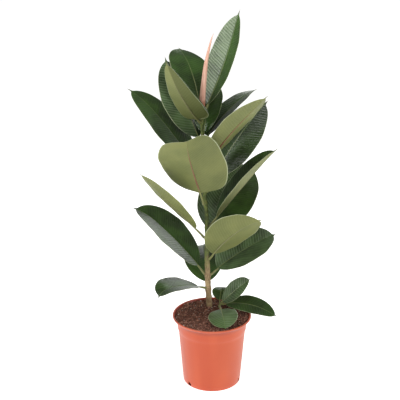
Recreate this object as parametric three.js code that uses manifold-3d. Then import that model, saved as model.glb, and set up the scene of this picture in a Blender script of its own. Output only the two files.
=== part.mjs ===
import * as THREE from 'three';
import { mergeVertices } from 'three/addons/utils/BufferGeometryUtils.js';
import Module from 'manifold-3d';

// A rubber plant standing in a plastic nursery pot.
// Millimetres, +Z up, origin at the centre of the pot's base, front towards -Y.

const wasm = await Module();
wasm.setup();

// Clearances between pieces that touch
const fitGap = 0.3;

// Pot
const potHeight = 192;
const potBaseRadius = 77;
const potStepHeight = 150;
const potStepRadius = 89;
const potCollarRadius = 94;
const potRimRadius = 105;
const potRimWidth = 4;
const potWall = 2.2;
const potFloor = 3;
const potSides = 48;
const rimFlare = 14;
const rimEdge = 4.5;
const drainHoleRadius = 5.6;
const drainHoleHeight = 7.2;
const drainHoleCount = 3;
const drainHoleFirst = -140;

// Soil
const soilDepthBelowRim = 5.2;
const soilCrown = 1.8;

// Main stem: places that the centre line passes through, from the root end to the tip
const stemPath = [
  [-6, 46, 118],
  [-6, 46, 176],
  [-11, 46, 260],
  [-14, 46, 360],
  [-15, 46, 450],
  [-21, 45, 520],
  [-25, 44, 620],
  [-28, 42, 742],
];
const stemRadii = [8.4, 4.2];
const stemSides = 12;
const stemSteps = 24;

// Bud sheath on the stem's tip, as places and radii from its foot to its point
const sheathPath = [
  [-28, 42, 743],
  [-27, 42, 765],
  [-24, 42, 805],
  [-17, 42, 865],
  [-6, 42, 915],
  [1, 42, 936],
];
const sheathRadii = [4.6, 6.8, 7, 5, 2.4, 0.7];

// Side shoot that comes up through the soil beside the main stem
const shootPath = [
  [13, 42, 150],
  [16, 41, 180],
  [20, 40, 193],
  [25, 40, 205],
];
const shootRadii = [3, 3, 2.6, 2.2];

// Leaves
const petioleRadius = 2.2;
const bladeThickness = 1.2;
const tipHalfWidth = 0.6;
const dripTipShare = 0.06;
const petioleLift = 10;
const petioleSteps = 4;
const midribSteps = 50;
const bladeStations = [1, 3, 7, 12, 18, 25, 32, 38, 43, 46, 48, 50];

// Each leaf: height of its node on the stem, the compass direction it points (0 is +X, 90 is +Y),
// its rise above level, petiole and blade sizes, how far it arches down and sweeps sideways along
// its length, the extra bend of its tip (hook), the fold of its halves about the midrib, and its
// roll about the midrib (right side up is positive). blunt sets how full the blade's outline is,
// and a lean below 1 moves its widest place towards the petiole.
const stemLeaves = {
  leaf_01: {
    at: 732, az: 41, rise: 56, petiole: 24, length: 254, width: 86, arch: -19, hook: 6, fold: 34,
    roll: -20, blunt: 0.63,
  },
  leaf_02: {
    at: 722, az: 110, rise: 64, petiole: 26, length: 220, width: 114, arch: 60, hook: -4, fold: 2,
    roll: -10,
  },
  leaf_03: {
    at: 710, az: -144.5, rise: 49.5, petiole: 10, length: 189, width: 98, arch: -20, fold: 13.5,
    roll: -25.5, lean: 0.4,
  },
  leaf_04: {
    at: 654, az: 140, rise: 60, petiole: 16, length: 225, width: 112, arch: 4, hook: -10, fold: -22,
    roll: 0,
  },
  leaf_05: {
    at: 674, az: 72, rise: 66, petiole: 7, length: 152, width: 74, arch: 42, hook: -16, fold: 8,
    roll: 3,
  },
  leaf_06: {
    at: 658, az: 58.5, rise: 28, petiole: 20, length: 270, width: 86, arch: 23, hook: 13, fold: 10,
    roll: 18, blunt: 0.5,
  },
  leaf_07: {
    at: 590, az: -26, rise: 55.5, petiole: 38, length: 232, width: 104, arch: 14, hook: -7, fold: 13,
    roll: 20,
  },
  leaf_08: {
    at: 560, az: 156, rise: 55, petiole: 26, length: 282, width: 121, arch: 18, hook: 17, fold: 4,
    roll: 6,
  },
  leaf_09: {
    at: 522, az: 25.5, rise: 58, petiole: 44, length: 244, width: 113, arch: 16, fold: 8,
    roll: -45.5,
  },
  leaf_10: {
    at: 490, az: -125, rise: 63, petiole: 37, length: 232, width: 174, arch: 15, hook: 29, sweep: 38,
    fold: 15, roll: -14, blunt: 0.36, lean: 0.68,
  },
  leaf_11: {
    at: 425, az: 5, rise: 51, petiole: 34, length: 243, width: 101, arch: 2, hook: 5, fold: 4,
    foldRight: 61, roll: -27,
  },
  leaf_12: {
    at: 395, az: 56, rise: 46, petiole: 18, length: 233, width: 156, arch: 17, fold: 4, roll: -16,
  },
  leaf_13: {
    at: 395, az: -167, rise: 47, petiole: 36, length: 221, width: 84, arch: -2, fold: 8, roll: -25,
  },
  leaf_14: {
    at: 335, az: -30, rise: 54, petiole: 18, length: 191, width: 132, arch: 24, hook: 10, sweep: 3,
    fold: 14, roll: 41,
  },
  leaf_15: {
    at: 288, az: 167, rise: 50, petiole: 29, length: 240, width: 133, arch: 16, hook: 25, fold: 11,
    roll: 8,
  },
  leaf_16: {
    at: 285, az: 24, rise: 32, petiole: 25, length: 191, width: 125, arch: 18, hook: 10, fold: 14,
    roll: -20,
  },
  leaf_17: {
    at: 250, az: -146, rise: 21, petiole: 25, length: 143, width: 106, arch: 26, hook: 68, sweep: 10,
    fold: 9, roll: -3,
  },
  leaf_18: {
    at: 245, az: 96, rise: 39, petiole: 16, length: 200, width: 117, arch: 60, fold: 9, roll: 11,
  },
};

// Leaves of the side shoot stand on places of their own beside it
const shootLeaves = {
  shoot_leaf_01: {
    from: [20, 45, 194],
    az: 83, rise: 46, petiole: 17, length: 55, width: 47, arch: 57, fold: 6, roll: 0, blunt: 0.55,
  },
  shoot_leaf_02: {
    from: [27, 40, 208],
    az: -9, rise: 48, petiole: 3, length: 105, width: 60, arch: 8, fold: 8, roll: -34,
  },
  shoot_leaf_03: {
    from: [28, 37, 203],
    az: -13, rise: 15, petiole: 11, length: 148, width: 64, arch: 50, fold: 3, roll: -18,
  },
  shoot_leaf_04: {
    from: [20, 35, 198],
    az: -83, rise: 6, petiole: 34, length: 99, width: 78, arch: 24, fold: 5, roll: -8, blunt: 0.55,
  },
};

const finishes = {
  terracottaPlastic: { color: 0xdc684b, roughness: 0.4 },
  moistSoil: { color: 0x4a3026, roughness: 0.95 },
  youngBark: { color: 0x8f764d, roughness: 0.7 },
  pinkSheath: { color: 0xd7a08c, roughness: 0.5 },
  greenShoot: { color: 0x8d9152, roughness: 0.6 },
  leafGreen: { color: 0x35491f, roughness: 0.35 },
};

function radians(degrees) {
  return THREE.MathUtils.degToRad(degrees);
}

// Skin over rings of points, each ring running clockwise as seen from the far end
function skin(rings) {
  const ringSize = rings[0].length;
  const positions = rings.flat().flatMap((p) => [p.x, p.y, p.z]);
  const faces = [];
  for (let i = 0; i < rings.length - 1; i += 1) {
    for (let k = 0; k < ringSize; k += 1) {
      const a = i * ringSize + k;
      const b = i * ringSize + ((k + 1) % ringSize);
      faces.push(a, b, a + ringSize);
      faces.push(b, b + ringSize, a + ringSize);
    }
  }
  const lastRing = (rings.length - 1) * ringSize;
  for (let k = 1; k < ringSize - 1; k += 1) {
    faces.push(0, k + 1, k);
    faces.push(lastRing, lastRing + k, lastRing + k + 1);
  }
  const geometry = new THREE.BufferGeometry();
  geometry.setAttribute('position', new THREE.Float32BufferAttribute(positions, 3));
  geometry.setIndex(faces);
  geometry.computeVertexNormals();
  return geometry;
}

// Round stalk along a smooth line, with its radius given along the way
function stalk(path, radii, sides, steps) {
  const curve = new THREE.CatmullRomCurve3(path.map((p) => new THREE.Vector3(...p)));
  const across = new THREE.Vector3(1, 0, 0);
  const rings = [];
  for (let i = 0; i <= steps; i += 1) {
    const share = i / steps;
    const centre = curve.getPoint(share);
    const along = curve.getTangent(share);
    const side = across.clone().addScaledVector(along, -across.dot(along)).normalize();
    const front = along.clone().cross(side);
    const slot = Math.min(Math.floor(share * (radii.length - 1)), radii.length - 2);
    const within = share * (radii.length - 1) - slot;
    const radius = THREE.MathUtils.lerp(radii[slot], radii[slot + 1], within);
    const ring = [];
    for (let k = 0; k < sides; k += 1) {
      const turn = (2 * Math.PI * k) / sides;
      ring.push(centre.clone()
        .addScaledVector(side, radius * Math.cos(turn))
        .addScaledVector(front, radius * Math.sin(turn)));
    }
    rings.push(ring);
  }
  return skin(rings);
}

function solid(geometry) {
  const bare = geometry.clone();
  bare.deleteAttribute('normal');
  bare.deleteAttribute('uv');
  const merged = mergeVertices(bare, 1e-4);
  return new wasm.Manifold(new wasm.Mesh({
    numProp: 3,
    vertProperties: new Float32Array(merged.attributes.position.array),
    triVerts: new Uint32Array(merged.index.array),
  }));
}

function geometryOf(manifold) {
  const mesh = manifold.getMesh();
  const geometry = new THREE.BufferGeometry();
  geometry.setAttribute('position', new THREE.BufferAttribute(mesh.vertProperties, 3));
  geometry.setIndex(new THREE.BufferAttribute(mesh.triVerts, 1));
  geometry.computeVertexNormals();
  return geometry;
}

// Solid of revolution about Z from a profile of [radius, height] places
function turned(profile) {
  const points = profile.map(([r, z]) => new THREE.Vector2(r, z));
  return new THREE.LatheGeometry(points, potSides).rotateX(Math.PI / 2);
}

function stemRadiusAt(height) {
  const foot = stemPath[0][2];
  const tip = stemPath[stemPath.length - 1][2];
  return THREE.MathUtils.mapLinear(height, foot, tip, ...stemRadii);
}

function stemCentreAt(height) {
  const above = stemPath.findIndex((p) => p[2] >= height);
  const low = stemPath[above - 1];
  const high = stemPath[above];
  const share = (height - low[2]) / (high[2] - low[2]);
  return new THREE.Vector3(...low).lerp(new THREE.Vector3(...high), share);
}

function makePot() {
  const inner = potCollarRadius - potWall;
  const profile = [
    [0, 0],
    [potBaseRadius - 3, 0],
    [potBaseRadius, 3],
    [potStepRadius, potStepHeight - 3],
    [potCollarRadius - 1, potStepHeight],
    [potCollarRadius, potHeight - rimFlare],
    [potRimRadius - 5, potHeight - rimEdge - 3],
    [potRimRadius, potHeight - rimEdge],
    [potRimRadius, potHeight - 1.5],
    [potRimRadius - 1.5, potHeight],
    [potRimRadius - potRimWidth, potHeight],
    [potRimRadius - potRimWidth - 2.5, potHeight - rimEdge],
    [inner + 2, potHeight - 10],
    [inner, potHeight - rimFlare],
    [inner - 1, potStepHeight + 2],
    [potStepRadius - potWall, potStepHeight - 3],
    [potBaseRadius - potWall, potFloor],
    [0, potFloor],
  ];
  let pot = solid(turned(profile));
  for (let i = 0; i < drainHoleCount; i += 1) {
    const hole = new THREE.CylinderGeometry(drainHoleRadius, drainHoleRadius, 26, 16)
      .rotateZ(Math.PI / 2)
      .translate(potBaseRadius - 2, 0, drainHoleHeight)
      .rotateZ(radians(drainHoleFirst + (360 * i) / drainHoleCount));
    pot = pot.subtract(solid(hole));
  }
  return geometryOf(pot);
}

function makeSoil() {
  const soilTop = potHeight - soilDepthBelowRim;
  const collarInner = potCollarRadius - potWall - fitGap;
  const profile = [
    [0, potFloor + fitGap],
    [potBaseRadius - potWall - fitGap, potFloor + fitGap],
    [potStepRadius - potWall - fitGap, potStepHeight - 3],
    [collarInner - 1, potStepHeight + 2],
    [collarInner, potHeight - rimFlare],
    [collarInner + 2, potHeight - 10],
    [collarInner + 6, soilTop],
    [50, soilTop + soilCrown * 0.8],
    [0, soilTop + soilCrown],
  ];
  const stemSocket = stalk(stemPath, stemRadii.map((r) => r + fitGap), stemSides, stemSteps)
    .translate(0, 0, -fitGap);
  const shootSocket = stalk(shootPath, shootRadii.map((r) => r + fitGap), stemSides, stemSteps)
    .translate(0, 0, -fitGap);
  const soil = solid(turned(profile)).subtract(solid(stemSocket)).subtract(solid(shootSocket));
  return geometryOf(soil);
}

// Half the blade's width at a share of its length: a blunt oval that ends in a slender drip tip
function halfWidth(leaf, share) {
  const body = Math.min(share / (1 - dripTipShare), 1) ** (leaf.lean ?? 1);
  const oval = (4 * body * (1 - body)) ** (leaf.blunt ?? 0.6);
  const drip = share > 0.5 ? 0.16 * Math.min((1 - share) / 0.12, 1) : 0;
  const least = THREE.MathUtils.lerp(petioleRadius, tipHalfWidth, share);
  return Math.max((leaf.width / 2) * Math.max(oval, drip), least);
}

function bladeRing(leaf, centre, side, up, share) {
  const half = halfWidth(leaf, share);
  const folds = [leaf.fold, leaf.foldRight ?? leaf.fold].map(radians);
  const midribDepth = THREE.MathUtils.lerp(petioleRadius * 2, bladeThickness, share);
  const places = [-1, -0.5, 0, 0.5, 1];
  const top = places.map((v) => {
    const fold = v < 0 ? folds[0] : folds[1];
    return centre.clone()
      .addScaledVector(side, half * v * Math.cos(fold))
      .addScaledVector(up, half * Math.abs(v) * Math.sin(fold));
  });
  const depths = places.map((v) => (v === 0 ? midribDepth : bladeThickness));
  const under = top.map((p, i) => p.clone().addScaledVector(up, -depths[i]));
  return [...top, ...under.reverse()];
}

function petioleRing(centre, side, up) {
  const turns = [162, 126, 90, 54, 18, -18, -54, -90, -126, -162];
  return turns.map((turn) => centre.clone()
    .addScaledVector(side, petioleRadius * Math.cos(radians(turn)))
    .addScaledVector(up, petioleRadius * (Math.sin(radians(turn)) - 1)));
}

// One leaf with its petiole, grown as one piece. It leaves the stem beside `start`.
function makeLeaf(leaf, start) {
  const frameAt = (rise, share) => {
    const azimuth = radians(leaf.az + (leaf.sweep ?? 0) * share);
    const level = new THREE.Vector3(Math.sin(azimuth), -Math.cos(azimuth), 0);
    const along = new THREE.Vector3(
      Math.cos(rise) * Math.cos(azimuth),
      Math.cos(rise) * Math.sin(azimuth),
      Math.sin(rise),
    );
    const side = level.applyAxisAngle(along, -radians(leaf.roll));
    return { along, side, up: side.clone().cross(along) };
  };
  const point = start.clone();
  const rings = [];
  for (let i = 0; i <= petioleSteps; i += 1) {
    const lift = petioleLift * (1 - i / petioleSteps);
    const frame = frameAt(radians(leaf.rise + lift), 0);
    rings.push(petioleRing(point, frame.side, frame.up));
    if (i < petioleSteps) {
      point.addScaledVector(frame.along, leaf.petiole / petioleSteps);
    }
  }
  for (let i = 1; i <= midribSteps; i += 1) {
    const share = i / midribSteps;
    const hooked = (leaf.hook ?? 0) * Math.max((share - 0.6) / 0.4, 0) ** 2;
    const frame = frameAt(radians(leaf.rise - leaf.arch * share - hooked), share);
    point.addScaledVector(frame.along, leaf.length / midribSteps);
    if (bladeStations.includes(i)) {
      rings.push(bladeRing(leaf, point, frame.side, frame.up, share));
    }
  }
  return skin(rings);
}

function leafOnStem(leaf) {
  const azimuth = radians(leaf.az);
  const reach = stemRadiusAt(leaf.at) + petioleRadius + fitGap;
  const start = stemCentreAt(leaf.at);
  start.x += reach * Math.cos(azimuth);
  start.y += reach * Math.sin(azimuth);
  return makeLeaf(leaf, start);
}

const plant = new THREE.Group();

function addPiece(name, geometry, finish) {
  const material = new THREE.MeshStandardMaterial({ ...finishes[finish], metalness: 0 });
  const mesh = new THREE.Mesh(geometry, material);
  mesh.name = name;
  plant.add(mesh);
}

addPiece('pot', makePot(), 'terracottaPlastic');
addPiece('potting_soil', makeSoil(), 'moistSoil');
addPiece('main_stem', stalk(stemPath, stemRadii, stemSides, stemSteps), 'youngBark');
addPiece('bud_sheath', stalk(sheathPath, sheathRadii, stemSides, 15), 'pinkSheath');
addPiece('side_shoot', stalk(shootPath, shootRadii, stemSides, 8), 'greenShoot');
for (const [name, leaf] of Object.entries(stemLeaves)) {
  addPiece(name, leafOnStem(leaf), 'leafGreen');
}
for (const [name, leaf] of Object.entries(shootLeaves)) {
  addPiece(name, makeLeaf(leaf, new THREE.Vector3(...leaf.from)), 'leafGreen');
}

export default plant;
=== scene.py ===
import math

import bmesh
import bpy
import numpy as np
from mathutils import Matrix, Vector, noise


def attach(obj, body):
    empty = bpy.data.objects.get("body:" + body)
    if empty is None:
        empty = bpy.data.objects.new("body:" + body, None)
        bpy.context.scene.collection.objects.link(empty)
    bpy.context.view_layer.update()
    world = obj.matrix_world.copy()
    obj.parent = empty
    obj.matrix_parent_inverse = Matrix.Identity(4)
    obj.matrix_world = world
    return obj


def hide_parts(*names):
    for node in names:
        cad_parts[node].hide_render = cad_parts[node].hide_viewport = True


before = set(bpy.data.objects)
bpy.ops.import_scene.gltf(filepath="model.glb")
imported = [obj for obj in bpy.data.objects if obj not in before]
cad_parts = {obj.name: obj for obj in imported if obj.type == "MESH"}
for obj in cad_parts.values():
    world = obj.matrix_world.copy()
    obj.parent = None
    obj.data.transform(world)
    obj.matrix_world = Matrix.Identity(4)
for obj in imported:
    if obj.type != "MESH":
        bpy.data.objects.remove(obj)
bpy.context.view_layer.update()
print("frame loaded with", len(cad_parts), "nodes")


# Shader maths: one output of a node, so that sums on it read as plain expressions
class Wire:
    def __init__(self, finish, socket):
        self.finish = finish
        self.socket = socket

    def maths(self, operation, *values):
        return self.finish.node("ShaderNodeMath", {"operation": operation}, dict(enumerate(values)))

    def __add__(self, other):
        return self.maths("ADD", self, other)

    def __radd__(self, other):
        return self.maths("ADD", other, self)

    def __sub__(self, other):
        return self.maths("SUBTRACT", self, other)

    def __rsub__(self, other):
        return self.maths("SUBTRACT", other, self)

    def __mul__(self, other):
        return self.maths("MULTIPLY", self, other)

    def __rmul__(self, other):
        return self.maths("MULTIPLY", other, self)

    def __truediv__(self, other):
        return self.maths("DIVIDE", self, other)

    def __abs__(self):
        return self.maths("ABSOLUTE", self)


# A node tree whose nodes all come from node(): its type, its settings, then values or links
class Nodes:
    def __init__(self, owner):
        owner.use_nodes = True
        self.tree = owner.node_tree
        self.tree.nodes.clear()

    def node(self, kind, settings=None, inputs=None, output=0):
        made = self.tree.nodes.new(kind)
        for name, value in (settings or {}).items():
            setattr(made, name, value)
        for key, value in (inputs or {}).items():
            if isinstance(value, Wire):
                self.tree.links.new(value.socket, made.inputs[key])
            else:
                made.inputs[key].default_value = value
        return Wire(self, made.outputs[output]) if made.outputs else made

    def placed(self, name="Object"):
        return self.node("ShaderNodeTexCoord", output=name)

    def band(self, value, low, high):
        settings = {"interpolation_type": "SMOOTHSTEP", "clamp": True}
        return self.node("ShaderNodeMapRange", settings, {0: value, 1: low, 2: high})


# A material round one principled shader
class Finish(Nodes):
    def __init__(self, name, **shaderValues):
        self.material = bpy.data.materials.new(name)
        super().__init__(self.material)
        shader = self.node("ShaderNodeBsdfPrincipled")
        self.shader = shader.socket.node
        self.node("ShaderNodeOutputMaterial", inputs={"Surface": shader})
        for key, value in shaderValues.items():
            self.shader.inputs[key.replace("_", " ")].default_value = value

    def feed(self, **links):
        for name, wire in links.items():
            self.tree.links.new(wire.socket, self.shader.inputs[name.replace("_", " ")])

    def attribute(self, name):
        return self.node("ShaderNodeAttribute", {"attribute_name": name}, output="Fac")

    def noise(self, place, scale, detail=3.0, rough=0.5):
        values = {"Vector": place, "Scale": scale, "Detail": detail, "Roughness": rough}
        return self.node("ShaderNodeTexNoise", inputs=values)

    def stretched(self, place, amount):
        return self.node("ShaderNodeVectorMath", {"operation": "MULTIPLY"}, {0: place, 1: amount})

    def mix(self, share, first, second):
        first, second = [value if isinstance(value, Wire) else (*value, 1) for value in (first, second)]
        return self.node("ShaderNodeMix", {"data_type": "RGBA"}, {0: share, 6: first, 7: second}, 2)

    def bump(self, height, distance, strength):
        values = {"Height": height, "Distance": distance, "Strength": strength}
        return self.node("ShaderNodeBump", inputs=values)


def meshPiece(name, points, faces, finishes, faceFinish=None, nodes=(), smooth=True):
    mesh = bpy.data.meshes.new(name)
    mesh.from_pydata([tuple(p) for p in points], [], [tuple(f) for f in faces])
    for finish in finishes:
        mesh.materials.append(finish.material)
    if faceFinish is not None:
        mesh.polygons.foreach_set("material_index", faceFinish)
    mesh.polygons.foreach_set("use_smooth", [smooth] * len(mesh.polygons))
    mesh.update()
    piece = bpy.data.objects.new(name, mesh)
    bpy.context.scene.collection.objects.link(piece)
    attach(piece, "root")
    if nodes:
        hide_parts(*nodes)
    return piece


def pointValues(piece, name, values):
    kept = piece.data.attributes.new(name, "FLOAT", "POINT")
    kept.data.foreach_set("value", np.asarray(values, dtype=np.float32))


def smoothStep(low, high, value):
    share = np.clip((value - low) / (high - low), 0, 1)
    return share * share * (3 - 2 * share)


def circle(radius, height, sides):
    turn = np.linspace(0, 2 * np.pi, sides, endpoint=False)
    return np.stack([radius * np.cos(turn), radius * np.sin(turn), np.full(sides, height)], 1)


def gridFaces(rows, columns, wrap=False, first=0, flip=False):
    faces = []
    across = columns if wrap else columns - 1
    for i in range(rows - 1):
        for k in range(across):
            a = first + i * columns + k
            b = first + i * columns + (k + 1) % columns
            quad = (a, b, b + columns, a + columns)
            faces.append(quad[::-1] if flip else quad)
    return faces


def smoothLine(places, count):
    # Catmull-Rom line through the places, as evenly spaced points
    knots = np.array([places[0]] + list(places) + [places[-1]], float)
    knots[0] = 2 * knots[1] - knots[2]
    knots[-1] = 2 * knots[-2] - knots[-3]
    fine = []
    for i in range(1, len(knots) - 2):
        for t in np.linspace(0, 1, 24, endpoint=False):
            a, b, c, d = knots[i - 1:i + 3]
            fine.append(0.5 * (2 * b + (c - a) * t + (2 * a - 5 * b + 4 * c - d) * t ** 2
                               + (3 * b - a - 3 * c + d) * t ** 3))
    fine = np.array(fine + [knots[-2]])
    reach = np.concatenate([[0], np.cumsum(np.linalg.norm(np.diff(fine, axis=0), axis=1))])
    even = np.linspace(0, reach[-1], count)
    return np.stack([np.interp(even, reach, fine[:, k]) for k in range(fine.shape[1])], 1)


def tubeRings(line, radii, sides, across=(1, 0, 0)):
    line = np.asarray(line, float)
    along = np.gradient(line, axis=0)
    along /= np.linalg.norm(along, axis=1)[:, None]
    side = np.asarray(across, float) - along * (along @ np.asarray(across, float))[:, None]
    side /= np.linalg.norm(side, axis=1)[:, None]
    front = np.cross(along, side)
    turn = np.linspace(0, 2 * np.pi, sides, endpoint=False)
    if np.ndim(radii) < 2:
        radii = np.broadcast_to(np.asarray(radii, float), (sides, len(line))).T
    outward = side[:, None] * np.cos(turn)[None, :, None] + front[:, None] * np.sin(turn)[None, :, None]
    return line[:, None] + radii[:, :, None] * outward


def tubeMesh(line, radii, sides, first=0, across=(1, 0, 0)):
    rings = tubeRings(line, radii, sides, across)
    count = len(rings)
    points = rings.reshape(-1, 3)
    faces = gridFaces(count, sides, wrap=True, first=first)
    faces.append(tuple(first + k for k in range(sides))[::-1])
    faces.append(tuple(first + (count - 1) * sides + k for k in range(sides)))
    return points, faces


# Stem: centre line and thickness in millimetres, from the root end to the tip
stem = {
    "places": [(-6, 46, 118), (-6, 46, 176), (-11, 46, 260), (-14, 46, 360), (-15, 46, 450),
               (-21, 45, 520), (-25, 44, 620), (-28, 42, 742)],
    "radii": [(118, 8.2), (176, 8.1), (262, 7.3), (360, 6.0), (450, 5.3), (620, 4.6), (742, 4.1)],
    "bareKnots": [205, 224, 268, 318, 362],
    "woody": (250, 380),
    "footHeight": 172,
    "footFlare": 1.6,
    "knotSwell": 0.9,
    "knotReach": 5.0,
    "ringDepth": 0.35,
    "sides": 40,
    "rows": 420,
}


def stemCentre(height):
    x, y, z = np.array(stem["places"], float).T
    return np.array([np.interp(height, z, x), np.interp(height, z, y), height])


def stemRadius(height):
    kept = np.array(stem["radii"], float)
    return np.interp(height, kept[:, 0], kept[:, 1])


# Leaves, in millimetres and degrees. at: height of the node on the stem. az: direction it points, 0 is
# +X and 90 is +Y. rise: angle above level. arch, hook and sweep bend it down, down at the tip and
# sideways along its length. fold lifts both halves about the midrib, with foldRight more on the right;
# roll turns the blade about the midrib, and curl turns a margin up (down below 0) from curlStart on.
# blunt sets how full the outline is, and a lean below 1 moves its widest place towards the petiole.
leafShapes = {
    "leaf_01": dict(at=732, az=41, rise=56, petiole=24, length=254, width=86, arch=-19, hook=6, fold=34,
                    roll=-20, blunt=0.63),
    "leaf_02": dict(at=722, az=110, rise=64, petiole=26, length=220, width=114, arch=60, hook=-4, fold=2,
                    roll=-10),
    "leaf_03": dict(at=710, az=-144.5, rise=49.5, petiole=10, length=189, width=98, arch=-20, fold=13.5,
                    roll=-25.5, curlLeft=-120, curlStart=0.75, lean=0.4),
    "leaf_04": dict(at=654, az=140, rise=60, petiole=16, length=225, width=112, arch=4, hook=-10,
                    fold=-22, roll=0, curlRight=75),
    "leaf_05": dict(at=674, az=72, rise=66, petiole=7, length=152, width=74, arch=42, hook=-16, fold=8,
                    roll=3),
    "leaf_06": dict(at=658, az=58.5, rise=28, petiole=20, length=270, width=86, arch=23, hook=13, fold=10,
                    roll=18, blunt=0.5),
    "leaf_07": dict(at=590, az=-26, rise=55.5, petiole=38, length=232, width=104, arch=14, hook=-7,
                    fold=13, roll=20),
    "leaf_08": dict(at=560, az=156, rise=55, petiole=26, length=282, width=121, arch=18, hook=17, fold=4,
                    roll=6),
    "leaf_09": dict(at=522, az=25.5, rise=58, petiole=44, length=244, width=113, arch=16, fold=8,
                    roll=-45.5),
    "leaf_10": dict(at=490, az=-125, rise=63, petiole=37, length=232, width=174, arch=15, hook=29,
                    sweep=38, fold=15, roll=-14, blunt=0.36, lean=0.68),
    "leaf_11": dict(at=425, az=5, rise=51, petiole=34, length=243, width=101, arch=2, hook=5, fold=4,
                    foldRight=57, roll=-27),
    "leaf_12": dict(at=395, az=56, rise=46, petiole=18, length=233, width=156, arch=17, fold=4, roll=-16),
    "leaf_13": dict(at=395, az=-167, rise=47, petiole=36, length=221, width=84, arch=-2, fold=8,
                    roll=-25),
    "leaf_14": dict(at=335, az=-30, rise=54, petiole=18, length=191, width=132, arch=24, hook=10, sweep=3,
                    fold=14, roll=41),
    "leaf_15": dict(at=288, az=167, rise=50, petiole=29, length=240, width=133, arch=16, hook=25, fold=11,
                    roll=8),
    "leaf_16": dict(at=285, az=24, rise=32, petiole=25, length=191, width=125, arch=18, hook=10, fold=14,
                    roll=-20),
    "leaf_17": dict(at=250, az=-146, rise=21, petiole=25, length=143, width=106, arch=26, hook=68,
                    sweep=10, fold=9, roll=-3),
    "leaf_18": dict(at=245, az=96, rise=39, petiole=16, length=200, width=117, arch=60, fold=9, roll=11),
    "shoot_leaf_01": dict(start=(20, 45, 194), az=83, rise=46, petiole=17, length=55, width=47, arch=57,
                          fold=6, roll=0, blunt=0.55),
    "shoot_leaf_02": dict(start=(27, 40, 208), az=-9, rise=48, petiole=3, length=105, width=60, arch=8,
                          fold=8, roll=-34),
    "shoot_leaf_03": dict(start=(28, 37, 203), az=-13, rise=15, petiole=11, length=148, width=64, arch=50,
                          fold=3, roll=-18),
    "shoot_leaf_04": dict(start=(20, 35, 198), az=-83, rise=6, petiole=34, length=99, width=78, arch=24,
                          fold=5, roll=-8, blunt=0.55),
}

leafMake = {
    "rows": 84,
    "acrossShares": np.array([0, 0.012, 0.03, 0.055, 0.09, 0.13, 0.18, 0.24, 0.31, 0.38, 0.45, 0.52, 0.59,
                              0.66, 0.72, 0.78, 0.83, 0.88, 0.92, 0.955, 0.98, 1.0]),
    "sectionSteps": 80,
    "midribSteps": 400,
    "ribRows": 60,
    "petioleSteps": 12,
    "thickMid": 0.9,
    "thickEdge": 0.45,
    "petioleRadius": 2.3,
    "midribEnd": 0.35,
    "petioleLift": 10,
    "tipShare": 0.06,
    "waveHeight": 2.0,
    "stalkSides": 12,
}


def halfWidth(shape, share):
    body = np.clip(share / (1 - leafMake["tipShare"]), 0, 1) ** shape.get("lean", 1)
    oval = (4 * body * (1 - body)) ** shape.get("blunt", 0.6)
    drip = np.where(share > 0.5, 0.16 * np.clip((1 - share) / 0.12, 0, 1) ** 1.3, 0)
    return shape["width"] / 2 * (oval ** 5 + drip ** 5) ** 0.2


def leafFrame(shape, share):
    hooked = shape.get("hook", 0) * max((share - 0.6) / 0.4, 0) ** 2
    rise = math.radians(shape["rise"] - shape["arch"] * share - hooked)
    az = math.radians(shape["az"] + shape.get("sweep", 0) * share)
    roll = math.radians(shape["roll"])
    along = np.array([math.cos(rise) * math.cos(az), math.cos(rise) * math.sin(az), math.sin(rise)])
    level = np.array([math.sin(az), -math.cos(az), 0])
    above = np.cross(level, along)
    across = math.cos(roll) * level + math.sin(roll) * above
    return along, across, math.cos(roll) * above - math.sin(roll) * level


def petioleLine(shape):
    # from inside the stem to the foot of the blade
    az = math.radians(shape["az"])
    outward = np.array([math.cos(az), math.sin(az), 0])
    if "start" in shape:
        point = np.array(shape["start"], float)
        inside = point - 2.5 * outward
    else:
        centre = stemCentre(shape["at"])
        point = centre + outward * (stemRadius(shape["at"]) + 2.5)
        inside = centre + outward * 1.5 - np.array([0, 0, 2.0])
    line = [inside]
    steps = leafMake["petioleSteps"]
    up = np.array([0, 0, 1])
    for i in range(steps + 1):
        line.append(point.copy())
        rise = math.radians(shape["rise"] + leafMake["petioleLift"] * (1 - i / steps))
        point = point + (outward * math.cos(rise) + up * math.sin(rise)) * shape["petiole"] / steps
    return np.array(line)


def bladeSection(shape, side, half, share, seed):
    # one half of the blade's cross-section: distances out from the midrib and up from its plane
    steps = leafMake["sectionSteps"]
    fine = np.linspace(0, 1, steps + 1)
    mids = (fine[1:] + fine[:-1]) / 2
    sign, label = side
    fold = shape["fold"] + shape.get("fold" + label, 0)
    curlStart = shape.get("curlStart", 0.65)
    curled = shape.get("curl" + label, 0) * np.clip((mids - curlStart) / (1 - curlStart), 0, 1)
    phase = seed * 1.7 + sign
    waves = (leafMake["waveHeight"] * np.sin(share * 15 + phase) + np.sin(share * 31 + phase * 2)) * mids ** 2
    angle = np.radians(fold + curled + waves)
    outward = np.concatenate([[0], np.cumsum(np.cos(angle) / steps)])
    upward = np.concatenate([[0], np.cumsum(np.sin(angle) / steps)])
    wide = half * (1 + 0.01 * math.sin(share * 19 + phase))
    shares = leafMake["acrossShares"]
    return np.interp(shares, fine, outward) * wide, np.interp(shares, fine, upward) * wide, shares * wide


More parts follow.
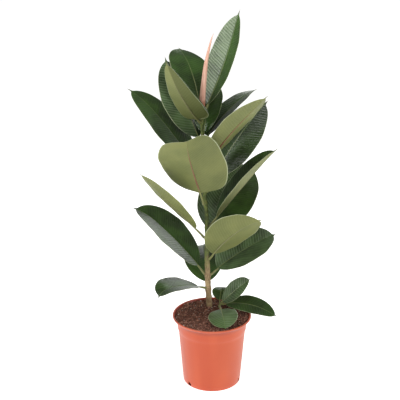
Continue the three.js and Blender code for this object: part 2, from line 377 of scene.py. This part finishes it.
def bladeSurface(shape, seed):
    line = petioleLine(shape)
    fineSteps = leafMake["midribSteps"]
    middle = [line[-1]]
    for i in range(fineSteps):
        along = leafFrame(shape, (i + 0.5) / fineSteps)[0]
        middle.append(middle[-1] + along * shape["length"] / fineSteps)
    middle = np.array(middle)
    # rows stand closer together at the foot and the tip
    even = np.linspace(0, 1, leafMake["rows"])
    shares = 0.55 * (0.5 - 0.5 * np.cos(np.pi * even)) + 0.45 * even
    halves = np.maximum(halfWidth(shape, shares), 0.25)
    surface, reach = [], []
    for half, share in zip(halves, shares):
        place = share * fineSteps
        low = min(int(place), fineSteps - 1)
        centre = middle[low] + (middle[low + 1] - middle[low]) * (place - low)
        along, across, above = leafFrame(shape, share)
        points, offsets = {}, {}
        for side in ((-1, "Left"), (1, "Right")):
            outward, upward, offset = bladeSection(shape, side, half, share, seed)
            points[side[0]] = centre + side[0] * across * outward[:, None] + above * upward[:, None]
            offsets[side[0]] = side[0] * offset
        surface.append(np.concatenate([points[-1][:0:-1], points[1]]))
        reach.append(np.concatenate([offsets[-1][:0:-1], offsets[1]]))
    return line, middle, shares, np.array(surface), np.array(reach)


def surfaceNormals(surface):
    down = np.gradient(surface, axis=0)
    out = np.gradient(surface, axis=1)
    normal = np.cross(out, down)
    size = np.linalg.norm(normal, axis=2, keepdims=True)
    return normal / np.maximum(size, 1e-9)


def closeBlade(rows, columns):
    # the upper and under surfaces, and the thin edge that joins them all round
    gap = rows * columns
    faces = gridFaces(rows, columns) + gridFaces(rows, columns, first=gap, flip=True)
    for i in range(rows - 1):
        a, b = i * columns, (i + 1) * columns
        faces.append((a, b, b + gap, a + gap))
        a, b = a + columns - 1, b + columns - 1
        faces.append((b, a, a + gap, b + gap))
    for k in range(columns - 1):
        faces.append((k + 1, k, k + gap, k + 1 + gap))
        last = (rows - 1) * columns + k
        faces.append((last, last + 1, last + 1 + gap, last + gap))
    return faces


def makeStalk(shape, line, middle, first):
    # petiole and midrib: one stalk that sinks into the underside and thins towards the tip
    alongRows = np.linspace(0, 0.985, leafMake["ribRows"])[1:]
    small = min(1, shape["width"] / 80)
    ribEnd = leafMake["midribEnd"]
    ribRadius = small * (ribEnd + (leafMake["petioleRadius"] - 0.3 - ribEnd) * (1 - alongRows) ** 1.5)
    ribMiddle = np.array([middle[int(s * leafMake["midribSteps"])] for s in alongRows])
    ribAbove = np.array([leafFrame(shape, s)[2] for s in alongRows])
    across, above = leafFrame(shape, 0)[1:]
    stalkRadius = leafMake["petioleRadius"] * small * np.linspace(1.25, 1, len(line)) ** 2
    sunk = stalkRadius * np.linspace(0, 1, len(line))
    ribCentres = ribMiddle - ribAbove * (ribRadius[:, None] + 0.25)
    centres = np.concatenate([line - above * sunk[:, None], ribCentres])
    radii = np.concatenate([stalkRadius, ribRadius])
    points, faces = tubeMesh(centres, radii, leafMake["stalkSides"], first=first, across=across)
    along = np.concatenate([np.full(len(line), -5.0), alongRows * shape["length"]])
    return points, faces, np.repeat(along, leafMake["stalkSides"])


def makeLeaf(name, shape, finishes, seed):
    line, middle, shares, surface, reach = bladeSurface(shape, seed)
    rows, columns = surface.shape[:2]
    normals = surfaceNormals(surface)
    across = leafMake["acrossShares"]
    edge = np.concatenate([across[:0:-1], across])[None]
    taper = np.clip((1 - shares) / 0.08, 0.35, 1)[:, None]
    thick = (leafMake["thickMid"] + (leafMake["thickEdge"] - leafMake["thickMid"]) * edge ** 2) * taper
    groove = 0.5 * np.exp(-(reach / 1.6) ** 2) * np.clip(1.15 - shares, 0, 1)[:, None]
    top = surface - normals * groove[:, :, None]
    under = surface - normals * thick[:, :, None]
    bladePoints = np.concatenate([top.reshape(-1, 3), under.reshape(-1, 3)])
    bladeFaces = closeBlade(rows, columns)
    stalkPoints, stalkFaces, stalkAlong = makeStalk(shape, line, middle, len(bladePoints))
    points = np.concatenate([bladePoints, stalkPoints]) / 1000
    upperCount = (rows - 1) * (columns - 1)
    faceFinish = [0] * upperCount + [1] * (len(bladeFaces) - upperCount) + [2] * len(stalkFaces)
    faces = bladeFaces + stalkFaces
    piece = meshPiece(name + "_grown", points, faces, finishes, faceFinish, nodes=[name])
    stalkFill = np.zeros(len(stalkPoints))
    length = shape["length"]
    for label, blade, stalk in (("bladeX", reach / 1000, stalkFill),
                                ("bladeY", shares[:, None] * length / 1000, stalkAlong / 1000),
                                ("bladeEdge", edge, stalkFill),
                                ("bladeShare", shares[:, None], stalkAlong / length)):
        once = np.broadcast_to(blade, reach.shape).ravel()
        pointValues(piece, label, np.concatenate([once, once, stalk]))
    return piece


# Leaf finishes. Sizes are in metres; vein spacing is the gap between the side veins.
leafLook = {
    # near-black green used as painted shade
    "upperPaintedShade": (0.006, 0.013, 0.001),
    "upperDark": (0.017, 0.036, 0.007),
    "upperBright": (0.040, 0.092, 0.014),
    "upperVein": (0.085, 0.13, 0.05),
    "upperMidrib": (0.20, 0.26, 0.09),
    # pale colour painted on as a reflection sheen
    "paintedSheen": (0.34, 0.42, 0.27),
    # dark olive used as painted shade on one half of an underside
    "underPaintedShade": (0.055, 0.068, 0.016),
    "dryTip": (0.16, 0.12, 0.075),
    "underBase": (0.190, 0.205, 0.066),
    "underShade": (0.130, 0.148, 0.046),
    "underVein": (0.25, 0.26, 0.11),
    # the leaf's pale edge, made brighter as a painted highlight
    "margin": (0.42, 0.46, 0.28),
    "stalk": (0.24, 0.25, 0.09),
    "stalkStreak": (0.12, 0.11, 0.04),
    "veinSpacing": 0.0075,
    "veinLean": 0.38,
}


def veinPattern(finish):
    x = abs(finish.attribute("bladeX"))
    y = finish.attribute("bladeY")
    wander = finish.noise(finish.placed(), 28.0, 2.0) - 0.5
    count = (y - x * leafLook["veinLean"] - x * x * 3.0) / leafLook["veinSpacing"] + wander * 0.9
    ripple = count.maths("COSINE", count * (2 * math.pi))
    fineRipple = count.maths("COSINE", count * (2 * math.pi * 2.6) + wander * 6)
    return x, ripple, fineRipple


def makeUpperFinish(name, look, paintedSheen=0.0, bothSides=False, paintedShade=0.0, gloss=0.5):
    finish = Finish(name, Roughness=0.3, IOR=1.5, Specular_IOR_Level=gloss)
    x, ripple, fineRipple = veinPattern(finish)
    place = finish.placed()
    clouds = finish.noise(place, 16.0, 4.0, 0.55)
    specks = finish.noise(place, 900.0, 2.0)
    share = finish.attribute("bladeShare")
    edge = finish.attribute("bladeEdge")
    veinLine = finish.band(ripple, 0.86, 0.995)
    colour = finish.mix(finish.band(clouds, 0.35, 0.68), look["upperDark"], look["upperBright"])
    colour = finish.mix(veinLine * 0.35 * finish.band(x, 0.003, 0.012), colour, look["upperVein"])
    if paintedSheen:
        # a painted pale sheen standing in for reflection, streaked along the side veins, thickest on the left
        # half
        streak = 0.45 + fineRipple * 0.12 + ripple * 0.22 + (clouds - 0.5) * 1.2
        leftSide = 1 - finish.band(finish.attribute("bladeX"), -0.004, 0.0)
        sheenShare = leftSide * 0.4 + 0.6 if bothSides else leftSide
        colour = finish.mix(finish.band(streak, 0.0, 1.0) * sheenShare * paintedSheen, colour, look["paintedSheen"])
    # painted shade: darkens the whole upper surface towards a near-black green
    if paintedShade:
        colour = finish.mix(paintedShade, colour, look["upperPaintedShade"])
    ribWide = 0.0016 - share * 0.0011
    rib = 1 - finish.band(x / ribWide, 0.6, 1.15)
    colour = finish.mix(rib * 0.5, colour, look["upperMidrib"])
    # a pale margin line: the leaf's paler edge, brightened with a painted highlight
    colour = finish.mix(finish.band(edge, 0.968, 0.99) * 0.7, colour, look["margin"])
    dust = finish.noise(finish.stretched(place, (1, 1, 0.4)), 90.0, 4.0, 0.6)
    colour = finish.mix(finish.band(share, 0.955, 0.985) * 0.8, colour, look["dryTip"])
    smooth = 0.17 + clouds * 0.10 + dust * 0.12 + specks * 0.05 + veinLine * 0.10
    height = ripple * 0.7 + fineRipple * 0.25 + finish.noise(place, 60.0, 3.0) * 1.8
    finish.feed(Base_Color=colour, Roughness=smooth, Normal=finish.bump(height, 0.00022, 1.0))
    return finish


def makeUnderFinish(name, look, leftPaintedShade=0.0):
    finish = Finish(name, Roughness=0.6, IOR=1.4)
    x, ripple, fineRipple = veinPattern(finish)
    place = finish.placed()
    clouds = finish.noise(place, 14.0, 4.0, 0.5)
    edge = finish.attribute("bladeEdge")
    veinLine = finish.band(ripple, 0.8, 0.99)
    colour = finish.mix(finish.band(clouds, 0.3, 0.7), look["underShade"], look["underBase"])
    colour = finish.mix(veinLine * 0.3, colour, look["underVein"])
    # painted shade: darkens the left half of the underside
    if leftPaintedShade:
        leftSide = 1 - finish.band(finish.attribute("bladeX"), -0.002, 0.0)
        colour = finish.mix(leftSide * leftPaintedShade, colour, look["underPaintedShade"])
    share = finish.attribute("bladeShare")
    colour = finish.mix(finish.band(share, 0.955, 0.985) * 0.8, colour, look["dryTip"])
    # a pale margin line: the leaf's paler edge, brightened with a painted highlight
    colour = finish.mix(finish.band(edge, 0.965, 0.985) * 0.8, colour, look["margin"])
    height = ripple * 0.6 + fineRipple * 0.3 + finish.noise(place, 240.0, 3.0) * 0.8
    finish.feed(Base_Color=colour, Roughness=0.5 + clouds * 0.2, Normal=finish.bump(height, 0.0002, 0.7))
    return finish


def makeStalkFinish(name, look, ribColour):
    finish = Finish(name, Roughness=0.45)
    place = finish.placed()
    share = finish.attribute("bladeShare")
    streaks = finish.noise(finish.stretched(place, (1, 1, 0.25)), 300.0, 3.0)
    colour = finish.mix(finish.band(share, 0.0, 0.12), look["stalk"], ribColour)
    colour = finish.mix(finish.band(share, 0.55, 0.9), colour, look["underBase"])
    colour = finish.mix(streaks * 0.35, colour, look["stalkStreak"])
    finish.feed(Base_Color=colour, Roughness=0.4 + streaks * 0.2, Normal=finish.bump(streaks, 0.0003, 0.5))
    return finish


upperFinish = makeUpperFinish("leafUpperGreen", leafLook)
# these paint a pale reflection sheen onto chosen leaves
sheenFinish = makeUpperFinish("leafUpperPaintedSheen", leafLook, paintedSheen=0.8)
faintSheenFinish = makeUpperFinish("leafUpperFaintPaintedSheen", leafLook, paintedSheen=0.25)
bothSidesSheenFinish = makeUpperFinish("leafUpperPaintedSheenBothSides", leafLook, paintedSheen=0.3, bothSides=True)
# these darken chosen leaves with painted shade; the second is also less glossy
shadedFinish = makeUpperFinish("leafUpperPaintedShade", leafLook, paintedShade=0.5)
mattShadedFinish = makeUpperFinish("leafUpperMattPaintedShade", leafLook, paintedShade=0.3, gloss=0.1)
underFinish = makeUnderFinish("leafUndersideOlive", leafLook)
# these darken the left half of chosen undersides with painted shade
shadedHalfFinish = makeUnderFinish("leafUndersidePaintedShadeHalf", leafLook, leftPaintedShade=0.6)
faintShadedHalfFinish = makeUnderFinish("leafUndersideFaintPaintedShadeHalf", leafLook, leftPaintedShade=0.2)
greenStalk = makeStalkFinish("stalkGreen", leafLook, (0.20, 0.20, 0.09))
redStalk = makeStalkFinish("stalkRedBrown", leafLook, (0.23, 0.085, 0.05))
uppers = {"leaf_01": sheenFinish, "leaf_04": faintSheenFinish, "leaf_12": faintSheenFinish, "leaf_09": shadedFinish,
          "leaf_06": mattShadedFinish, "leaf_16": bothSidesSheenFinish, "shoot_leaf_02": bothSidesSheenFinish,
          "shoot_leaf_04": bothSidesSheenFinish}
unders = {"leaf_03": shadedHalfFinish, "leaf_10": faintShadedHalfFinish}
stalks = {"leaf_10": redStalk, "leaf_07": redStalk}
for seed, (name, shape) in enumerate(leafShapes.items()):
    finishes = [uppers.get(name, upperFinish), unders.get(name, underFinish), stalks.get(name, greenStalk)]
    makeLeaf(name, shape, finishes, seed)
print("leaves grown:", len(leafShapes))


# Main stem: tan bark at the foot that turns green, with a swollen ringed knot under each leaf
barkLook = {
    "tan": (0.46, 0.33, 0.17),
    "brown": (0.20, 0.125, 0.060),
    "green": (0.15, 0.19, 0.040),
    "deepGreen": (0.065, 0.085, 0.022),
    "corkSpots": (0.50, 0.42, 0.28),
}


def makeBarkFinish(look):
    finish = Finish("youngBark", Roughness=0.7)
    place = finish.placed()
    height = finish.attribute("stemHeight")
    grain = finish.noise(finish.stretched(place, (1, 1, 0.18)), 420.0, 4.0, 0.6)
    patches = finish.noise(place, 70.0, 4.0, 0.6)
    bark = finish.mix(finish.band(grain * 0.6 + patches * 0.4, 0.38, 0.62), look["brown"], look["tan"])
    young = finish.mix(finish.band(patches, 0.4, 0.65), look["deepGreen"], look["green"])
    greenShare = finish.band(height + (patches - 0.5) * 0.09, 0.285, 0.36)
    colour = finish.mix(greenShare, bark, young)
    ring = finish.attribute("stemRing")
    colour = finish.mix(ring * 0.7, colour, look["brown"])
    wide = finish.stretched(place, (1, 1, 0.6))
    spots = finish.node("ShaderNodeTexVoronoi", inputs={"Vector": wide, "Scale": 420.0})
    dots = (1 - finish.band(spots, 0.12, 0.24)) * finish.band(patches, 0.42, 0.6)
    colour = finish.mix(dots * 0.6, colour, look["corkSpots"])
    relief = grain + dots * 0.8 + patches * 0.6
    finish.feed(Base_Color=colour, Roughness=0.55 + grain * 0.3, Normal=finish.bump(relief, 0.0006, 0.8))
    return finish


def makeStem():
    line = smoothLine(stem["places"], stem["rows"])
    heights = line[:, 2]
    radii = stemRadius(heights)
    ring = np.zeros(len(heights))
    knots = [shape["at"] for shape in leafShapes.values() if "at" in shape] + stem["bareKnots"]
    for knot in knots:
        radii = radii + stem["knotSwell"] * np.exp(-((heights - knot + 3) / stem["knotReach"]) ** 2)
        scar = np.exp(-((heights - knot - 4.5) / 0.8) ** 2)
        radii = radii - stem["ringDepth"] * scar
        ring = np.maximum(ring, scar)
    sides = stem["sides"]
    turn = np.linspace(0, 2 * np.pi, sides, endpoint=False)
    rough = np.zeros((len(heights), sides))
    for i, z in enumerate(heights):
        for k, angle in enumerate(turn):
            spot = Vector((math.cos(angle) * 2.2, math.sin(angle) * 2.2, z * 0.09))
            rough[i, k] = noise.noise(spot)
    roughness = 0.25 + 0.45 * (1 - smoothStep(*stem["woody"], heights))
    flare = stem["footFlare"] * np.exp(-(heights - stem["footHeight"]) ** 2 / 220)
    buttress = flare[:, None] * (0.6 + 0.5 * np.sin(turn * 4))
    wide = radii[:, None] + buttress + rough * roughness[:, None]
    points, faces = tubeMesh(line, wide, sides)
    finish = makeBarkFinish(barkLook)
    piece = meshPiece("main_stem_bark", points / 1000, faces, [finish], nodes=["main_stem"])
    pointValues(piece, "stemHeight", np.repeat(heights, sides) / 1000)
    pointValues(piece, "stemRing", np.repeat(ring, sides))
    return piece


makeStem()
print("stem grown")


# Bud sheath: a long pink spindle wrapped round the next leaf
sheath = {
    "places": [(-28, 42, 738), (-27.5, 42, 752), (-27, 42, 765), (-24, 42, 805), (-17, 42, 865),
               (-6, 42, 915), (1, 42, 936)],
    "radii": [(738, 5.6), (746, 7.2), (756, 8.0), (790, 7.4), (830, 6.2), (865, 4.7), (900, 3.0),
              (922, 1.8), (936, 0.35)],
    "pink": (0.66, 0.335, 0.235),
    "paler": (0.78, 0.50, 0.38),
    "foot": (0.36, 0.10, 0.045),
    "footTop": 0.776,
    "sides": 32,
}


def makeSheath():
    line = smoothLine(sheath["places"], 120)
    kept = np.array(sheath["radii"], float)
    radii = np.interp(line[:, 2], kept[:, 0], kept[:, 1])
    turn = np.linspace(0, 2 * np.pi, sheath["sides"], endpoint=False)
    climb = (line[:, 2:] - line[0, 2]) / 200
    # slightly oval, with the raised edge of the wrap winding up it
    seam = 0.035 * np.exp(-(((turn - 4.3 - climb) / 0.16) ** 2))
    wrap = 1 + 0.05 * np.cos(turn - 2.2 * climb) + seam
    points, faces = tubeMesh(line, radii[:, None] * wrap, sheath["sides"])
    finish = Finish("budSheathPink", Roughness=0.42)
    place = finish.placed()
    height = finish.node("ShaderNodeSeparateXYZ", inputs={0: place}, output=2)
    streaks = finish.noise(finish.stretched(place, (1, 1, 0.06)), 420.0, 3.0)
    blotches = finish.noise(place, 55.0, 3.0)
    colour = finish.mix(finish.band(streaks, 0.35, 0.7), sheath["pink"], sheath["paler"])
    footTop = sheath["footTop"]
    footShare = 1 - finish.band(height + (blotches - 0.5) * 0.03, footTop - 0.02, footTop + 0.008)
    colour = finish.mix(footShare * 0.85, colour, sheath["foot"])
    finish.feed(Base_Color=colour, Roughness=0.36 + streaks * 0.18, Normal=finish.bump(streaks, 0.0004, 0.6))
    return meshPiece("bud_sheath_pink", points / 1000, faces, [finish], nodes=["bud_sheath"])


makeSheath()
print("bud sheath grown")


# Side shoot beside the stem
shoot = {
    "places": [(13, 42, 150), (16, 41, 180), (20, 40, 193), (25, 40, 205), (27.5, 40, 211)],
    "radii": [3, 3, 2.7, 2.3, 1.6],
    "green": (0.28, 0.30, 0.10),
    "brown": (0.20, 0.13, 0.06),
}


def makeShoot():
    line = smoothLine(shoot["places"], 60)
    radii = np.interp(np.linspace(0, 1, 60), np.linspace(0, 1, len(shoot["radii"])), shoot["radii"])
    points, faces = tubeMesh(line, radii, 20)
    finish = Finish("shootGreen", Roughness=0.5)
    place = finish.placed()
    grain = finish.noise(finish.stretched(place, (1, 1, 0.3)), 380.0, 3.0)
    height = finish.node("ShaderNodeSeparateXYZ", inputs={0: place}, output=2)
    colour = finish.mix(finish.band(height + grain * 0.01, 0.18, 0.2), shoot["brown"], shoot["green"])
    finish.feed(Base_Color=colour, Roughness=0.4 + grain * 0.25, Normal=finish.bump(grain, 0.0003, 0.5))
    return meshPiece("side_shoot_green", points / 1000, faces, [finish], nodes=["side_shoot"])


makeShoot()
print("side shoot grown")


# Nursery pot, in millimetres: (radius, height) up the outside, over the lip and down the inside
pot = {
    "profile": [(60, 0.0), (72.5, 0.0), (75.5, 0.7), (77, 2.6), (78, 14), (82.5, 68), (86.8, 120),
                (88.7, 143), (89.2, 147), (90.6, 152), (91.8, 155), (92.6, 165), (93.2, 174), (94.6, 179),
                (98, 183.4), (102, 186), (104.3, 187.6), (105, 189.2), (104.7, 190.8), (103.6, 191.8),
                (102.4, 192), (101.3, 191.5), (100.4, 189.8), (98.4, 186.4), (94.6, 182), (92.2, 178),
                (91.4, 172), (90.4, 155), (88.4, 151), (86.8, 146), (84.6, 120), (75.5, 8), (74, 4.2),
                (71, 3)],
    "sides": 160,
    "holes": 3,
    "holeRadius": 5.6,
    "holeHeight": 7.2,
    "holeFirst": -140,
    "orange": (0.55, 0.086, 0.019),
    "orangeDeep": (0.48, 0.062, 0.011),
    "lipHighlightAndScuff": (0.55, 0.14, 0.08),
    "underLipShade": (0.30, 0.038, 0.012),
    # colour of painted shade on the inner wall
    "inside": (0.26, 0.035, 0.022),
    "hollowShade": (0.05, 0.012, 0.008),
}


def makePotFinish(look):
    finish = Finish("terracottaPlastic", Roughness=0.38, IOR=1.5)
    place = finish.placed()
    radius = finish.attribute("potRadius")
    height = finish.node("ShaderNodeSeparateXYZ", inputs={0: place}, output=2)
    clouds = finish.noise(place, 9.0, 3.0)
    grain = finish.noise(place, 1400.0, 2.0)
    flow = finish.noise(finish.stretched(place, (1, 1, 0.05)), 17.0, 1.0)
    tone = finish.band(clouds * 0.25 + flow * 0.75, 0.36, 0.64)
    colour = finish.mix(tone, look["orangeDeep"], look["orange"])
    # painted shade under the overhang of the lip
    shadeShare = finish.band(height, 0.168, 0.182) * (1 - finish.band(radius, 0.096, 0.1025))
    colour = finish.mix(shadeShare * 0.75, colour, look["underLipShade"])
    # painted highlight: a pale band round the outer curve of the rolled lip
    lipHighlightShare = finish.band(radius, 0.1018, 0.1045)
    colour = finish.mix(lipHighlightShare * (0.35 + clouds * 0.4), colour, look["lipHighlightAndScuff"])
    # painted shade on the inner wall above the soil
    insideShadeShare = (1 - finish.band(radius, 0.1002, 0.1012)) * finish.band(height, 0.1815, 0.183)
    colour = finish.mix(insideShadeShare, colour, look["inside"])
    # painted shade in the hollow under the pot's foot
    hollowShadeShare = (1 - finish.band(radius, 0.0735, 0.0755)) * (1 - finish.band(height, 0.012, 0.014))
    colour = finish.mix(hollowShadeShare, colour, look["hollowShade"])
    scuffs = finish.band(finish.noise(place, 34.0, 6.0, 0.65), 0.66, 0.74)
    colour = finish.mix(scuffs * 0.12, colour, look["lipHighlightAndScuff"])
    relief = grain * 0.4 + flow * 0.8
    finish.feed(Base_Color=colour, Roughness=0.30 + clouds * 0.1 + grain * 0.06,
                Normal=finish.bump(relief, 0.00015, 0.6))
    return finish


def makePot():
    sides = pot["sides"]
    points = np.concatenate([circle(radius, height, sides) for radius, height in pot["profile"]])
    faces = gridFaces(len(pot["profile"]), sides, wrap=True)
    faces.append(tuple(range(sides))[::-1])
    faces.append(tuple(range(len(points) - sides, len(points))))
    piece = meshPiece("pot_nursery", points / 1000, faces, [makePotFinish(pot)], nodes=["pot"])
    cutters = []
    up = np.array([0, 0, pot["holeHeight"] / 1000])
    for i in range(pot["holes"]):
        angle = math.radians(pot["holeFirst"] + i * 360 / pot["holes"])
        out = np.array([math.cos(angle), math.sin(angle), 0])
        line = [out * 0.05 + up, out * 0.09 + up]
        cutPoints, cutFaces = tubeMesh(line, pot["holeRadius"] / 1000, 32, across=(0, 0, 1))
        mesh = bpy.data.meshes.new("drainHole")
        mesh.from_pydata([tuple(p) for p in cutPoints], [], cutFaces)
        cutter = bpy.data.objects.new("drainHole", mesh)
        bpy.context.scene.collection.objects.link(cutter)
        cutters.append(cutter)
        cut = piece.modifiers.new("drainHole", "BOOLEAN")
        cut.operation = "DIFFERENCE"
        cut.solver = "EXACT"
        cut.object = cutter
    solid = bpy.data.meshes.new_from_object(piece.evaluated_get(bpy.context.evaluated_depsgraph_get()))
    piece.modifiers.clear()
    piece.data = solid
    for cutter in cutters:
        bpy.data.objects.remove(cutter)
    solid.polygons.foreach_set("use_smooth", [True] * len(solid.polygons))
    solid.set_sharp_from_angle(angle=math.radians(38))
    pointValues(piece, "potRadius", [math.hypot(v.co.x, v.co.y) for v in solid.vertices])
    return piece


makePot()
print("pot turned, with its drain holes")


# Potting soil: a lumpy top with loose crumbs and white perlite on it
soil = {
    "dark": (0.034, 0.012, 0.007),
    "mid": (0.17, 0.062, 0.036),
    "light": (0.38, 0.19, 0.13),
    "perlite": (0.80, 0.74, 0.66),
    "perlitePits": (0.5, 0.42, 0.34),
    "edgeRadius": 98.0,
    "topEdge": 186.2,
    "topMiddle": 188.0,
    "lumpHeight": 2.2,
    "moundHeight": 3.5,
    "stemPlace": stem["places"][0][:2],
    "stemGap": 8.5,
    "wall": [(93.6, 181.6), (91.4, 177), (90.4, 171), (89.2, 155), (86, 146), (83.6, 120), (73.5, 5.0)],
    "crumbs": 5200,
    "crumbSizes": (0.8, 4.2),
    "perliteCount": 260,
    "perliteSizes": (0.7, 2.1),
    "seed": 11,
}


def soilTop(x, y):
    r = math.hypot(x, y)
    crown = soil["topEdge"] + (soil["topMiddle"] - soil["topEdge"]) * (1 - (r / soil["edgeRadius"]) ** 2)
    spot = Vector((x * 0.07, y * 0.07, 3.1))
    lumps = noise.fractal(spot, 0.8, 2.1, 5) * soil["lumpHeight"]
    mound = soil["moundHeight"] * math.exp(-math.dist((x, y), soil["stemPlace"]) ** 2 / 260)
    return min(crown + lumps + mound, 192)


def makeSoilFinish(look):
    finish = Finish("moistSoil", Roughness=0.9)
    place = finish.placed()
    tone = finish.attribute("crumbTone")
    grit = finish.noise(place, 260.0, 5.0, 0.65)
    colour = finish.mix(finish.band(grit, 0.35, 0.6), look["dark"], look["mid"])
    colour = finish.mix(finish.band(grit * 0.6 + tone * 0.5, 0.56, 0.92), colour, look["light"])
    finish.feed(Base_Color=colour, Roughness=0.75 + grit * 0.25, Normal=finish.bump(grit, 0.0012, 0.9))
    return finish


def makePerliteFinish(look):
    finish = Finish("perliteWhite", Roughness=0.85)
    pits = finish.noise(finish.placed(), 900.0, 3.0)
    colour = finish.mix(finish.band(pits, 0.35, 0.6), look["perlitePits"], look["perlite"])
    finish.feed(Base_Color=colour, Normal=finish.bump(pits, 0.0005, 0.8))
    return finish


def scatter(name, count, sizes, finish, seed, lift):
    # rough little grains: one bent icosphere each, squeezed and turned at random
    chance = np.random.default_rng(seed)
    form = bmesh.new()
    bmesh.ops.create_icosphere(form, subdivisions=1, radius=1.0)
    corners = np.array([v.co for v in form.verts])
    triangles = np.array([[v.index for v in f.verts] for f in form.faces])
    form.free()
    points, faces, tone = [], [], []
    made = 0
    while made < count:
        x, y = chance.uniform(-soil["edgeRadius"], soil["edgeRadius"], 2)
        fromStem = math.dist((x, y), soil["stemPlace"])
        if math.hypot(x, y) > soil["edgeRadius"] - 2 or fromStem < soil["stemGap"]:
            continue
        size = sizes[0] + (sizes[1] - sizes[0]) * chance.random() ** 2.2
        bent = corners * chance.uniform(0.72, 1.25, (len(corners), 1)) * chance.uniform(0.6, 1.2, 3) * size
        spin = np.linalg.qr(chance.normal(size=(3, 3)))[0]
        centre = np.array([x, y, soilTop(x, y) + lift * size])
        points.append(bent @ spin.T + centre)
        faces.append(triangles + made * len(corners))
        tone.append(np.full(len(corners), chance.random()))
        made += 1
    points = np.concatenate(points) / 1000
    piece = meshPiece(name, points, np.concatenate(faces).tolist(), [finish], smooth=False)
    pointValues(piece, "crumbTone", np.concatenate(tone))
    return piece


def makeSoil():
    finish = makeSoilFinish(soil)
    rings, sides = 60, 150
    top = [circle(soil["edgeRadius"] * i / rings, 0, sides) for i in range(1, rings + 1)]
    points = [(x, y, soilTop(x, y)) for x, y, z in np.concatenate([[(0, 0, 0)], *top])]
    points += [tuple(p) for radius, height in soil["wall"] for p in circle(radius, height, sides)]
    faces = [(0, 1 + k, 1 + (k + 1) % sides) for k in range(sides)]
    faces += gridFaces(rings + len(soil["wall"]), sides, wrap=True, first=1, flip=True)
    faces.append(tuple(range(len(points) - sides, len(points)))[::-1])
    points = np.array(points) / 1000
    body = meshPiece("potting_soil_body", points, faces, [finish], nodes=["potting_soil"])
    pointValues(body, "crumbTone", [0.3] * len(points))
    scatter("potting_soil_crumbs", soil["crumbs"], soil["crumbSizes"], finish, soil["seed"], 0.3)
    perlite = makePerliteFinish(soil)
    scatter("perlite_grains", soil["perliteCount"], soil["perliteSizes"], perlite, soil["seed"] + 1, 0.8)


makeSoil()
print("soil and perlite laid")


# Studio: pale floor, pale surround that is brightest behind, and soft lamps
studio = {
    "floorColour": (0.86, 0.86, 0.855),
    "floorRings": [0.3, 0.8, 2.0, 5.0, 14.0],
    "floorGlow": 0.86,
    "surround": 0.20,
    "backdrop": 0.5,
    "seenSurround": 0.97,
    "lamps": [
        # name, place, aimed at, width, height, watts
        ("lampLeft", (-2.2, -1.3, 1.9), (0, 0.05, 0.5), 0.9, 1.4, 42),
        ("lampRight", (2.3, -0.9, 1.5), (0, 0.05, 0.5), 0.5, 1.4, 14),
        ("lampTop", (-0.3, -0.3, 2.9), (0, 0.05, 0.4), 1.1, 1.1, 26),
        ("lampFront", (0.78, -2.72, 1.63), (0, 0.05, 0.8), 0.6, 0.6, 22),
        ("lampBack", (0.7, 2.1, 0.95), (0, 0.05, 0.35), 1.6, 0.6, 8),
    ],
}
camera = {"place": (0, -2.4, 1.383), "down": 19.87, "yaw": -0.76, "lens": 89.64, "sensor": 36}


def makeFloor():
    sides = 96
    rings = studio["floorRings"]
    points = np.concatenate([[(0, 0, 0)], *[circle(radius, 0, sides) for radius in rings]])
    faces = [(0, 1 + k, 1 + (k + 1) % sides) for k in range(sides)]
    faces += gridFaces(len(rings), sides, wrap=True, first=1, flip=True)
    mesh = bpy.data.meshes.new("studioFloor")
    mesh.from_pydata([tuple(p) for p in points], [], faces)
    floor = bpy.data.objects.new("studioFloor", mesh)
    bpy.context.scene.collection.objects.link(floor)
    glow = {"Emission_Color": (1, 1, 1, 1), "Emission_Strength": studio["floorGlow"]}
    finish = Finish("paleFloor", Roughness=0.8, **glow)
    clouds = finish.noise(finish.placed(), 1.5, 2.0)
    shade = [c * 0.985 for c in studio["floorColour"]]
    finish.feed(Base_Color=finish.mix(clouds, studio["floorColour"], shade))
    mesh.materials.append(finish.material)


def makeSurround():
    world = bpy.data.worlds.new("studioAir")
    bpy.context.scene.world = world
    air = Nodes(world)
    place = air.placed("Generated")
    backward = air.node("ShaderNodeSeparateXYZ", inputs={0: place}, output=1)
    height = air.node("ShaderNodeSeparateXYZ", inputs={0: place}, output=2)
    # the backdrop is bright behind the plant and only up to a low height
    strength = air.band(backward, 0.1, 0.75) * air.band(height, 0.5, 0.12) * studio["backdrop"]
    light = air.node("ShaderNodeBackground", inputs={"Strength": strength + studio["surround"]})
    # looked at directly, above the floor's far edge, the surround is as pale as the floor
    pale = air.node("ShaderNodeBackground", inputs={0: (1, 1, 1, 1), "Strength": studio["seenSurround"]})
    seen = air.node("ShaderNodeLightPath", output="Is Camera Ray")
    shown = air.node("ShaderNodeMixShader", inputs={0: seen, 1: light, 2: pale})
    air.node("ShaderNodeOutputWorld", inputs={"Surface": shown})


def makeLamps():
    for name, place, aim, width, height, watts in studio["lamps"]:
        lamp = bpy.data.lights.new(name, "AREA")
        lamp.shape = "RECTANGLE"
        lamp.size = width
        lamp.size_y = height
        lamp.energy = watts
        holder = bpy.data.objects.new(name, lamp)
        holder.location = place
        holder.rotation_euler = (Vector(aim) - Vector(place)).to_track_quat("-Z", "Y").to_euler()
        bpy.context.scene.collection.objects.link(holder)


makeFloor()
makeSurround()
makeLamps()
lens = bpy.data.cameras.new("studioCamera")
lens.sensor_width = camera["sensor"]
lens.lens = camera["lens"]
lens.clip_end = 60
viewer = bpy.data.objects.new("studioCamera", lens)
viewer.location = camera["place"]
viewer.rotation_euler = (math.radians(90 - camera["down"]), 0, math.radians(-camera["yaw"]))
bpy.context.scene.collection.objects.link(viewer)
bpy.context.scene.camera = viewer
bpy.context.scene.view_settings.view_transform = "Standard"
print("studio set")
